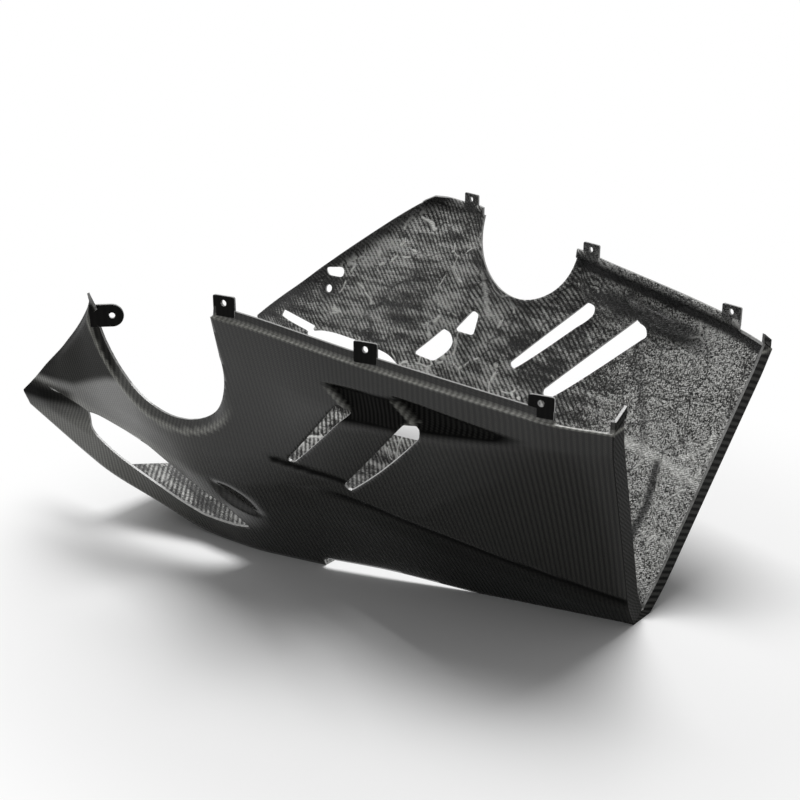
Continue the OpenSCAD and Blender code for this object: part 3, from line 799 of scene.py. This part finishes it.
def add_lug(batch):
    """Round-ended lug that turns inward from the skin just ahead of the near opening."""
    angle = np.linspace(-math.pi, math.pi, 128, endpoint=False)
    dx, dz = np.cos(angle), np.sin(angle)
    r = LUG_R - PLATE_SPARE
    tail = np.minimum(r / np.maximum(np.abs(dz), 1e-6), (LUG_REACH - LUG_SPARE) / np.maximum(-dx, 1e-6))
    reach = np.where(dx < 0, tail, r)
    outline = np.stack([dx * reach, dz * reach], -1)
    turn = math.radians(LUG_TURN)
    root = LUG_SINK - upper_half(LUG_X, LUG_Z)
    at = np.array([LUG_X + LUG_REACH * math.cos(turn), root + LUG_REACH * math.sin(turn), LUG_Z])
    at = at + sizes().tab_t / MM / 2 * np.array([math.sin(turn), -math.cos(turn), 0.0])
    add_plate(batch, outline, at, LUG_TURN, NEAR)


def make_object(name, batch, materials):
    """One mesh from all that the batch gathered, with its cloth coordinates as a UV map and its painted
    light and marks as a colour attribute."""
    points, faces = np.concatenate(batch.points), np.concatenate(batch.faces)
    cloth, stain = np.concatenate(batch.cloth), np.concatenate(batch.stain)
    mesh = bpy.data.meshes.new(name)
    mesh.from_pydata(points.tolist(), [], faces.tolist())
    layer = mesh.uv_layers.new(name="cloth")
    layer.data.foreach_set("uv", cloth[faces.reshape(-1)].astype(np.float32).reshape(-1))
    colour = mesh.color_attributes.new(name="stain", type="FLOAT_COLOR", domain="POINT")
    colour.data.foreach_set("color", stain.astype(np.float32).reshape(-1))
    mesh.polygons.foreach_set("material_index", np.concatenate(batch.slots).astype(np.int32))
    mesh.polygons.foreach_set("use_smooth", np.concatenate(batch.smooth))
    for material in materials:
        mesh.materials.append(material)
    mesh.update()
    piece = bpy.data.objects.new(name, mesh)
    bpy.context.scene.collection.objects.link(piece)
    return piece


# Materials

class Nodes:
    """Small helper that adds and links shader nodes of one material."""

    def __init__(self, name):
        self.material = bpy.data.materials.new(name)
        self.material.use_nodes = True
        self.tree = self.material.node_tree
        self.tree.nodes.clear()

    def add(self, kind, **values):
        """A new node with its settings."""
        node = self.tree.nodes.new(kind)
        for key, value in values.items():
            setattr(node, key, value)
        return node

    def feed(self, socket, value):
        """Links another node's output to a socket, or sets its value."""
        if isinstance(value, bpy.types.NodeSocket):
            self.tree.links.new(value, socket)
        else:
            socket.default_value = value

    def math(self, operation, a, b=0.0):
        """One of Blender's operations on two values."""
        node = self.add("ShaderNodeMath", operation=operation)
        self.feed(node.inputs[0], a)
        self.feed(node.inputs[1], b)
        return node.outputs[0]

    def plus(self, a, b):
        return self.math("ADD", a, b)

    def less(self, a, b):
        return self.math("SUBTRACT", a, b)

    def times(self, a, b):
        return self.math("MULTIPLY", a, b)

    def most(self, a, b):
        return self.math("MAXIMUM", a, b)

    def least(self, a, b):
        return self.math("MINIMUM", a, b)

    def spread(self, value, width):
        """A value from 0 to 1 laid round zero: what it has over one half, times the width."""
        return self.times(self.less(value, 0.5), width)

    def ramp(self, factor, stops, colour=True):
        """Colours or plain values that pass into one another between their stops."""
        node = self.add("ShaderNodeValToRGB")
        self.feed(node.inputs[0], factor)
        while len(node.color_ramp.elements) < len(stops):
            node.color_ramp.elements.new(0.5)
        for element, (place, value) in zip(node.color_ramp.elements, stops):
            element.position = place
            element.color = (*value, 1.0) if colour else (value, value, value, 1.0)
        return node.outputs[0]

    def noise(self, vector, scale, detail=3.0, rough=0.5):
        """Soft noise from 0 to 1."""
        node = self.add("ShaderNodeTexNoise")
        self.feed(node.inputs["Vector"], vector)
        node.inputs["Scale"].default_value = scale
        node.inputs["Detail"].default_value = detail
        node.inputs["Roughness"].default_value = rough
        return node.outputs["Fac"]

    def mix(self, factor, a, b):
        """Mix of two colours. The node's sixth and seventh sockets take them."""
        node = self.add("ShaderNodeMix", data_type="RGBA")
        self.feed(node.inputs[0], factor)
        for socket, value in ((node.inputs[6], a), (node.inputs[7], b)):
            self.feed(socket, (*value, 1.0) if isinstance(value, (tuple, list)) else value)
        return node.outputs[2]

    def bump(self, height, strength, distance):
        """Normal raised by a height."""
        node = self.add("ShaderNodeBump")
        self.feed(node.inputs["Height"], height)
        node.inputs["Strength"].default_value = strength
        node.inputs["Distance"].default_value = distance
        return node.outputs[0]

    def finish(self, shader):
        """Puts a shader on the surface and gives the material."""
        self.feed(self.add("ShaderNodeOutputMaterial").inputs["Surface"], shader)
        return self.material


def twill(n, turn, wide=1.0):
    """Two-by-two twill from the cloth coordinates: tow numbers along and across, whose sum modulo four
    says which tow is on top. Gives the tow on top as 0 or 1, and a height rounded across that tow."""
    uv = n.add("ShaderNodeUVMap", uv_map="cloth").outputs[0]
    mapping = n.add("ShaderNodeMapping")
    n.feed(mapping.inputs["Vector"], uv)
    mapping.inputs["Rotation"].default_value = (0.0, 0.0, math.radians(turn))
    tow = 1.0 / (sizes().tow * wide)
    mapping.inputs["Scale"].default_value = (tow, tow, 1.0)
    parts = n.add("ShaderNodeSeparateXYZ")
    n.feed(parts.inputs[0], mapping.outputs[0])
    u, v = parts.outputs[0], parts.outputs[1]
    count = n.plus(n.math("FLOOR", u), n.math("FLOOR", v))
    over = n.math("LESS_THAN", n.math("FLOORED_MODULO", count, 4.0), 2.0)
    across_u = n.math("SINE", n.times(n.math("FRACT", u), math.pi))
    across_v = n.math("SINE", n.times(n.math("FRACT", v), math.pi))
    return over, n.plus(n.times(over, across_u), n.times(n.less(1.0, over), across_v))


def surface(n, colour, roughness, coat, coat_roughness, normal):
    """Principled shader of a laminate's face, under a coat of resin."""
    shader = n.add("ShaderNodeBsdfPrincipled")
    n.feed(shader.inputs["Base Color"], colour)
    n.feed(shader.inputs["Roughness"], roughness)
    n.feed(shader.inputs["Coat Weight"], coat)
    shader.inputs["Coat Roughness"].default_value = coat_roughness
    n.feed(shader.inputs["Normal"], normal)
    return shader


def outer_twill():
    """Black twill under a clear gloss coat. Painted shade and dark reflections darken it and take the coat
    away, and where they are full, faintly lit tows are painted in. Painted highlights lighten its ribs."""
    n = Nodes("clear_coated_twill")
    c = colours()
    over, high = twill(n, OUTER_TURN)
    place = n.add("ShaderNodeTexCoord").outputs["Object"]
    stain = n.add("ShaderNodeAttribute", attribute_name="stain")
    channels = n.add("ShaderNodeSeparateColor")
    n.feed(channels.inputs[0], stain.outputs["Color"])
    highlight_paint, shade_paint = channels.outputs[2], stain.outputs["Alpha"]
    tone = n.mix(over, tuple(c.tow_dark), tuple(c.tow_light))
    # Painted shade and dark reflections take the marked places near black
    tone = n.mix(n.least(n.times(shade_paint, 1.25), 0.96), tone, PAINTED_SHADE_TONE)
    # Where the painted shade is full, faintly lit tows are painted in
    tows_in_shade = n.times(n.most(n.less(shade_paint, SHADE_TOWS_FROM), 0.0), SHADE_TOWS_GAIN)
    tone = n.mix(n.times(tows_in_shade, over), tone, SHADE_TOW_TONE)
    tone = n.mix(n.times(n.less(1.0, high), 0.7), tone, GAP_TONE)
    tone = n.mix(n.times(n.noise(place, scale=9.0, detail=2.0), 0.25), tone, DRIFT_TONE)
    ribs = n.plus(0.42, n.times(over, 0.40))
    # Painted highlights lighten the ribs
    colour = n.mix(n.times(highlight_paint, ribs), tone, RIB_LIGHT)
    rough = n.ramp(over, [(0.0, 0.42), (1.0, 0.30)], colour=False)
    # The coat thins where shade is painted
    gloss = n.times(n.most(n.less(1.0, n.times(shade_paint, COAT_LOSS)), 0.0), COAT)
    tows = n.bump(high, strength=0.2, distance=0.0002)
    shader = surface(n, colour, rough, gloss, COAT_ROUGH, tows)
    shader.inputs["IOR"].default_value = BASE_IOR
    shader.inputs["Coat IOR"].default_value = COAT_IOR
    waves = n.bump(n.noise(place, scale=60.0, detail=2.0), strength=0.25, distance=0.0004)
    n.feed(shader.inputs["Coat Normal"], waves)
    return n.finish(shader.outputs[0])


def bag_side_tone(n, place, over, patch, lighter_grain):
    """Tone of the bag side: the printed weave with soft patches at the front, and fine leathery grain
    towards the rear, each a sum of noises round a middle level. The strong contrast of the front patches
    is partly painted glints, and the rear's higher level is painted light, besides the resin's own mottling
    and grain."""
    c = colours()
    fine = n.spread(n.noise(place, scale=560.0, rough=0.6), 4.0)
    middle = n.spread(patch, 1.7)
    broad = n.spread(n.noise(place, scale=11.0, detail=4.0, rough=0.6), 1.3)
    weave = n.plus(n.spread(over, 0.42), n.times(fine, 0.35))
    # Painted glints: the front patches' strong contrast stands in for streaky glints, besides the resin's
    # mottling
    front = n.plus(n.plus(weave, n.times(middle, 1.3)), n.plus(broad, 0.60))
    # The rear is painted lighter for the light it reflects, besides its leathery grain
    rear = n.plus(n.plus(fine, n.times(middle, 0.5)), n.plus(n.times(broad, 0.6), 0.80))
    level = n.plus(n.times(rear, lighter_grain), n.times(front, n.less(1.0, lighter_grain)))
    stops = [(0.08, tuple(c.resin_dark)), (0.40, RESIN_WET), (0.68, RESIN_DRY), (1.0, tuple(c.resin_light))]
    return n.ramp(level, stops)


def creases_in_bag(n, place):
    """Creases that the vacuum bag left: edges between cells on bent coordinates. In some places they are
    broken and light, elsewhere dark. Gives the light and the dark ones."""
    warp = n.add("ShaderNodeTexNoise")
    n.feed(warp.inputs["Vector"], place)
    warp.inputs["Scale"].default_value = 22.0
    bent = n.add("ShaderNodeVectorMath", operation="MULTIPLY_ADD")
    n.feed(bent.inputs[0], warp.outputs["Color"])
    bent.inputs[1].default_value = (0.04, 0.04, 0.04)
    n.feed(bent.inputs[2], place)
    cells = n.add("ShaderNodeTexVoronoi", feature="DISTANCE_TO_EDGE")
    n.feed(cells.inputs["Vector"], bent.outputs[0])
    cells.inputs["Scale"].default_value = 24.0
    line = n.most(n.less(1.0, n.times(cells.outputs[0], 27.0)), 0.0)
    broken = n.math("GREATER_THAN", n.noise(place, scale=75.0), 0.47)
    where = n.math("GREATER_THAN", n.noise(place, scale=10.0, detail=2.0), 0.50)
    light = n.least(n.times(n.times(line, where), n.times(broken, 1.5)), 1.0)
    return light, n.times(line, n.less(1.0, where))


def inner_laminate():
    """Bag side of the laminate: the weave printed through rough resin, leathery and painted lighter towards
    the rear, with ridges, creases and the dark bands of the colour attribute: painted shade in grooves,
    recesses and along the front edge, dark fold lines and darkening towards the keel."""
    n = Nodes("bag_side_laminate")
    over, high = twill(n, INNER_TURN, INNER_WIDER)
    place = n.add("ShaderNodeTexCoord").outputs["Object"]
    marks = n.add("ShaderNodeSeparateColor")
    n.feed(marks.inputs[0], n.add("ShaderNodeAttribute", attribute_name="stain").outputs["Color"])
    dark, ply = marks.outputs[0], marks.outputs[1]
    axes = n.add("ShaderNodeSeparateXYZ")
    n.feed(axes.inputs[0], place)
    lighter_grain = n.ramp(axes.outputs[0], [(LIGHTER_GRAIN_FROM, 0.0), (LIGHTER_GRAIN_FULL, 1.0)], colour=False)
    stretch = n.add("ShaderNodeMapping")
    n.feed(stretch.inputs["Vector"], place)
    stretch.inputs["Rotation"].default_value = (0.0, math.radians(35.0), 0.0)
    stretch.inputs["Scale"].default_value = (0.35, 1.0, 1.8)
    patch = n.noise(stretch.outputs[0], scale=60.0, detail=6.0, rough=0.68)
    light, vein = creases_in_bag(n, place)
    line = n.most(light, ply)
    colour = n.mix(n.times(line, 0.85), bag_side_tone(n, place, over, patch, lighter_grain), PLY_TONE)
    colour = n.mix(n.times(vein, 0.8), colour, CREASE_TONE)
    # Painted shade in grooves, recesses and along the front edge, with dark fold lines and darkening towards
    # the keel
    colour = n.mix(n.times(dark, 0.98), colour, BAND_TONE)
    rough = n.ramp(patch, [(0.35, 0.16), (0.65, 0.38)], colour=False)
    pores = n.noise(place, scale=190.0, rough=0.7)
    height = n.plus(n.times(pores, n.plus(n.times(lighter_grain, 1.6), 0.35)), n.times(high, 0.22))
    height = n.plus(n.plus(height, n.times(patch, 1.2)), n.times(line, 0.5))
    shader = surface(n, colour, rough, 0.12, 0.1, n.bump(height, strength=1.0, distance=0.0045))
    shader.inputs["Specular IOR Level"].default_value = 0.25
    return n.finish(shader.outputs[0])


def cut_edge():
    """Trimmed laminate: plies seen end on, under thin resin."""
    n = Nodes("cut_laminate_edge")
    place = n.add("ShaderNodeTexCoord").outputs["Object"]
    grain = n.noise(place, scale=420.0)
    colour = n.mix(grain, (0.02, 0.02, 0.02), tuple(colours().cut_edge))
    plies = n.bump(grain, strength=0.3, distance=0.0003)
    return n.finish(surface(n, colour, 0.32, 0.5, 0.1, plies).outputs[0])


def seen_directly(n):
    """1 for camera, mirror and glass rays, 0 for the rays that light the object."""
    path = n.add("ShaderNodeLightPath").outputs
    return n.most(path["Is Camera Ray"], n.most(path["Is Glossy Ray"], path["Is Transmission Ray"]))


def white_backdrop(name, colour):
    """Plain pale floor with its shadow, which passes into plain white away from the object."""
    n = Nodes(name)
    shader = n.add("ShaderNodeBsdfPrincipled")
    shader.inputs["Base Color"].default_value = (*colour, 1.0)
    shader.inputs["Roughness"].default_value = 0.9
    shader.inputs["Specular IOR Level"].default_value = 0.1
    white = n.add("ShaderNodeEmission")
    white.inputs["Color"].default_value = (1.0, 1.0, 1.0, 1.0)
    away = n.add("ShaderNodeVectorMath", operation="DISTANCE")
    n.feed(away.inputs[0], n.add("ShaderNodeTexCoord").outputs["Object"])
    away.inputs[1].default_value = WHITE_CENTRE
    reach = n.add("ShaderNodeMapRange", interpolation_type="SMOOTHSTEP")
    n.feed(reach.inputs["Value"], away.outputs["Value"])
    reach.inputs["From Min"].default_value = WHITE_FROM
    reach.inputs["From Max"].default_value = WHITE_FULL
    both = n.add("ShaderNodeMixShader")
    n.feed(both.inputs[0], n.times(reach.outputs["Result"], seen_directly(n)))
    n.feed(both.inputs[1], shader.outputs[0])
    n.feed(both.inputs[2], white.outputs[0])
    return n.finish(both.outputs[0])


class BELLYPAN_OT_laminate(bpy.types.Operator):
    """Build the one-piece moulding with its tabs and lug"""
    bl_idname = "belly_pan.laminate"
    bl_label = "Laminate"

    def execute(self, context):
        batch = Batch()
        add_moulding(batch)
        add_tabs(batch)
        add_lug(batch)
        pan = make_object("belly_pan_laminate", batch, [outer_twill(), inner_laminate(), cut_edge()])
        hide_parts("belly_pan")
        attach(pan, "root")
        return {"FINISHED"}


def soft_box():
    """The one lamp: a wide soft box above the pan."""
    data = bpy.data.lights.new("top_soft_box", "AREA")
    data.shape = "RECTANGLE"
    data.size, data.size_y = LAMP_SIZE
    data.energy = LAMP_POWER
    lamp = bpy.data.objects.new("top_soft_box", data)
    bpy.context.scene.collection.objects.link(lamp)
    lamp.location = LAMP_PLACE
    lamp.rotation_euler = (Vector(LAMP_TARGET) - Vector(LAMP_PLACE)).to_track_quat("-Z", "Y").to_euler()


def photo_camera():
    """Camera at its distance from the target, by azimuth and elevation, upright."""
    a, e = math.radians(CAMERA_AZ), math.radians(CAMERA_EL)
    back = Vector((math.sin(a) * math.cos(e), -math.cos(a) * math.cos(e), math.sin(e)))
    right = Vector((math.cos(a), math.sin(a), 0.0))
    turn = Matrix((right, back.cross(right), back)).transposed().to_4x4()
    data = bpy.data.cameras.new("photo_camera")
    data.sensor_width = SENSOR_MM
    data.lens = FOCAL_PX / PHOTO_PX * SENSOR_MM
    camera = bpy.data.objects.new("photo_camera", data)
    bpy.context.scene.collection.objects.link(camera)
    target = Vector(to_frame(np.array(CAMERA_TARGET)))
    camera.matrix_world = Matrix.Translation(target + back * CAMERA_DISTANCE * MM) @ turn
    bpy.context.scene.camera = camera


def pale_floor():
    """Round flat floor under the pan: points on a circle."""
    angle = np.linspace(0, 2 * math.pi, FLOOR_SIDES, endpoint=False)
    ring = np.stack([FLOOR_R * np.cos(angle), FLOOR_R * np.sin(angle), 0 * angle], -1)
    mesh = bpy.data.meshes.new("floor")
    mesh.from_pydata(ring.tolist(), [], [tuple(range(len(ring)))])
    mesh.materials.append(white_backdrop("pale_floor", tuple(colours().floor)))
    floor = bpy.data.objects.new("floor", mesh)
    bpy.context.scene.collection.objects.link(floor)


def studio_world():
    """Grey light for the object, and plain white for camera, mirror and glass rays."""
    world = bpy.data.worlds.new("studio")
    world.use_nodes = True
    bpy.context.scene.world = world
    tree = world.node_tree
    tree.nodes.clear()
    path = tree.nodes.new("ShaderNodeLightPath")
    out = tree.nodes.new("ShaderNodeOutputWorld")

    def plain_light(level):
        shade = tree.nodes.new("ShaderNodeBackground")
        shade.inputs["Color"].default_value = (1.0, 1.0, 1.0, 1.0)
        shade.inputs["Strength"].default_value = level
        return shade.outputs[0]

    result = plain_light(WORLD_LEVEL)
    for ray in ("Is Glossy Ray", "Is Transmission Ray", "Is Camera Ray"):
        mix = tree.nodes.new("ShaderNodeMixShader")
        tree.links.new(path.outputs[ray], mix.inputs[0])
        tree.links.new(result, mix.inputs[1])
        tree.links.new(plain_light(1.0), mix.inputs[2])
        result = mix.outputs[0]
    tree.links.new(result, out.inputs[0])


class BELLYPAN_OT_stage(bpy.types.Operator):
    """Add the pale floor, the white surroundings, the lights and the camera"""
    bl_idname = "belly_pan.stage"
    bl_label = "Stage"

    def execute(self, context):
        context.scene.view_settings.view_transform = "Standard"
        pale_floor()
        studio_world()
        soft_box()
        photo_camera()
        return {"FINISHED"}


class BELLYPAN_PT_sidebar(bpy.types.Panel):
    """Sizes, colours and operators of the belly pan"""
    bl_label = "Belly Pan"
    bl_idname = "BELLYPAN_PT_sidebar"
    bl_space_type = "VIEW_3D"
    bl_region_type = "UI"
    bl_category = "Belly Pan"

    def draw(self, context):
        for group in (context.scene.belly_pan_sizes, context.scene.belly_pan_colours):
            for name in group.bl_rna.properties.keys():
                if name not in ("rna_type", "name"):
                    self.layout.prop(group, name)
        self.layout.operator(BELLYPAN_OT_laminate.bl_idname)
        self.layout.operator(BELLYPAN_OT_stage.bl_idname)


CLASSES = (BellyPanSizes, BellyPanColours, BELLYPAN_OT_laminate, BELLYPAN_OT_stage, BELLYPAN_PT_sidebar)


def register():
    for cls in CLASSES:
        bpy.utils.register_class(cls)
    bpy.types.Scene.belly_pan_sizes = bpy.props.PointerProperty(type=BellyPanSizes)
    bpy.types.Scene.belly_pan_colours = bpy.props.PointerProperty(type=BellyPanColours)


def unregister():
    del bpy.types.Scene.belly_pan_colours
    del bpy.types.Scene.belly_pan_sizes
    for cls in reversed(CLASSES):
        bpy.utils.unregister_class(cls)


def main():
    """Builds the pan and its stage."""
    register()
    bpy.ops.belly_pan.laminate()
    bpy.ops.belly_pan.stage()


if __name__ == "__main__":
    main()
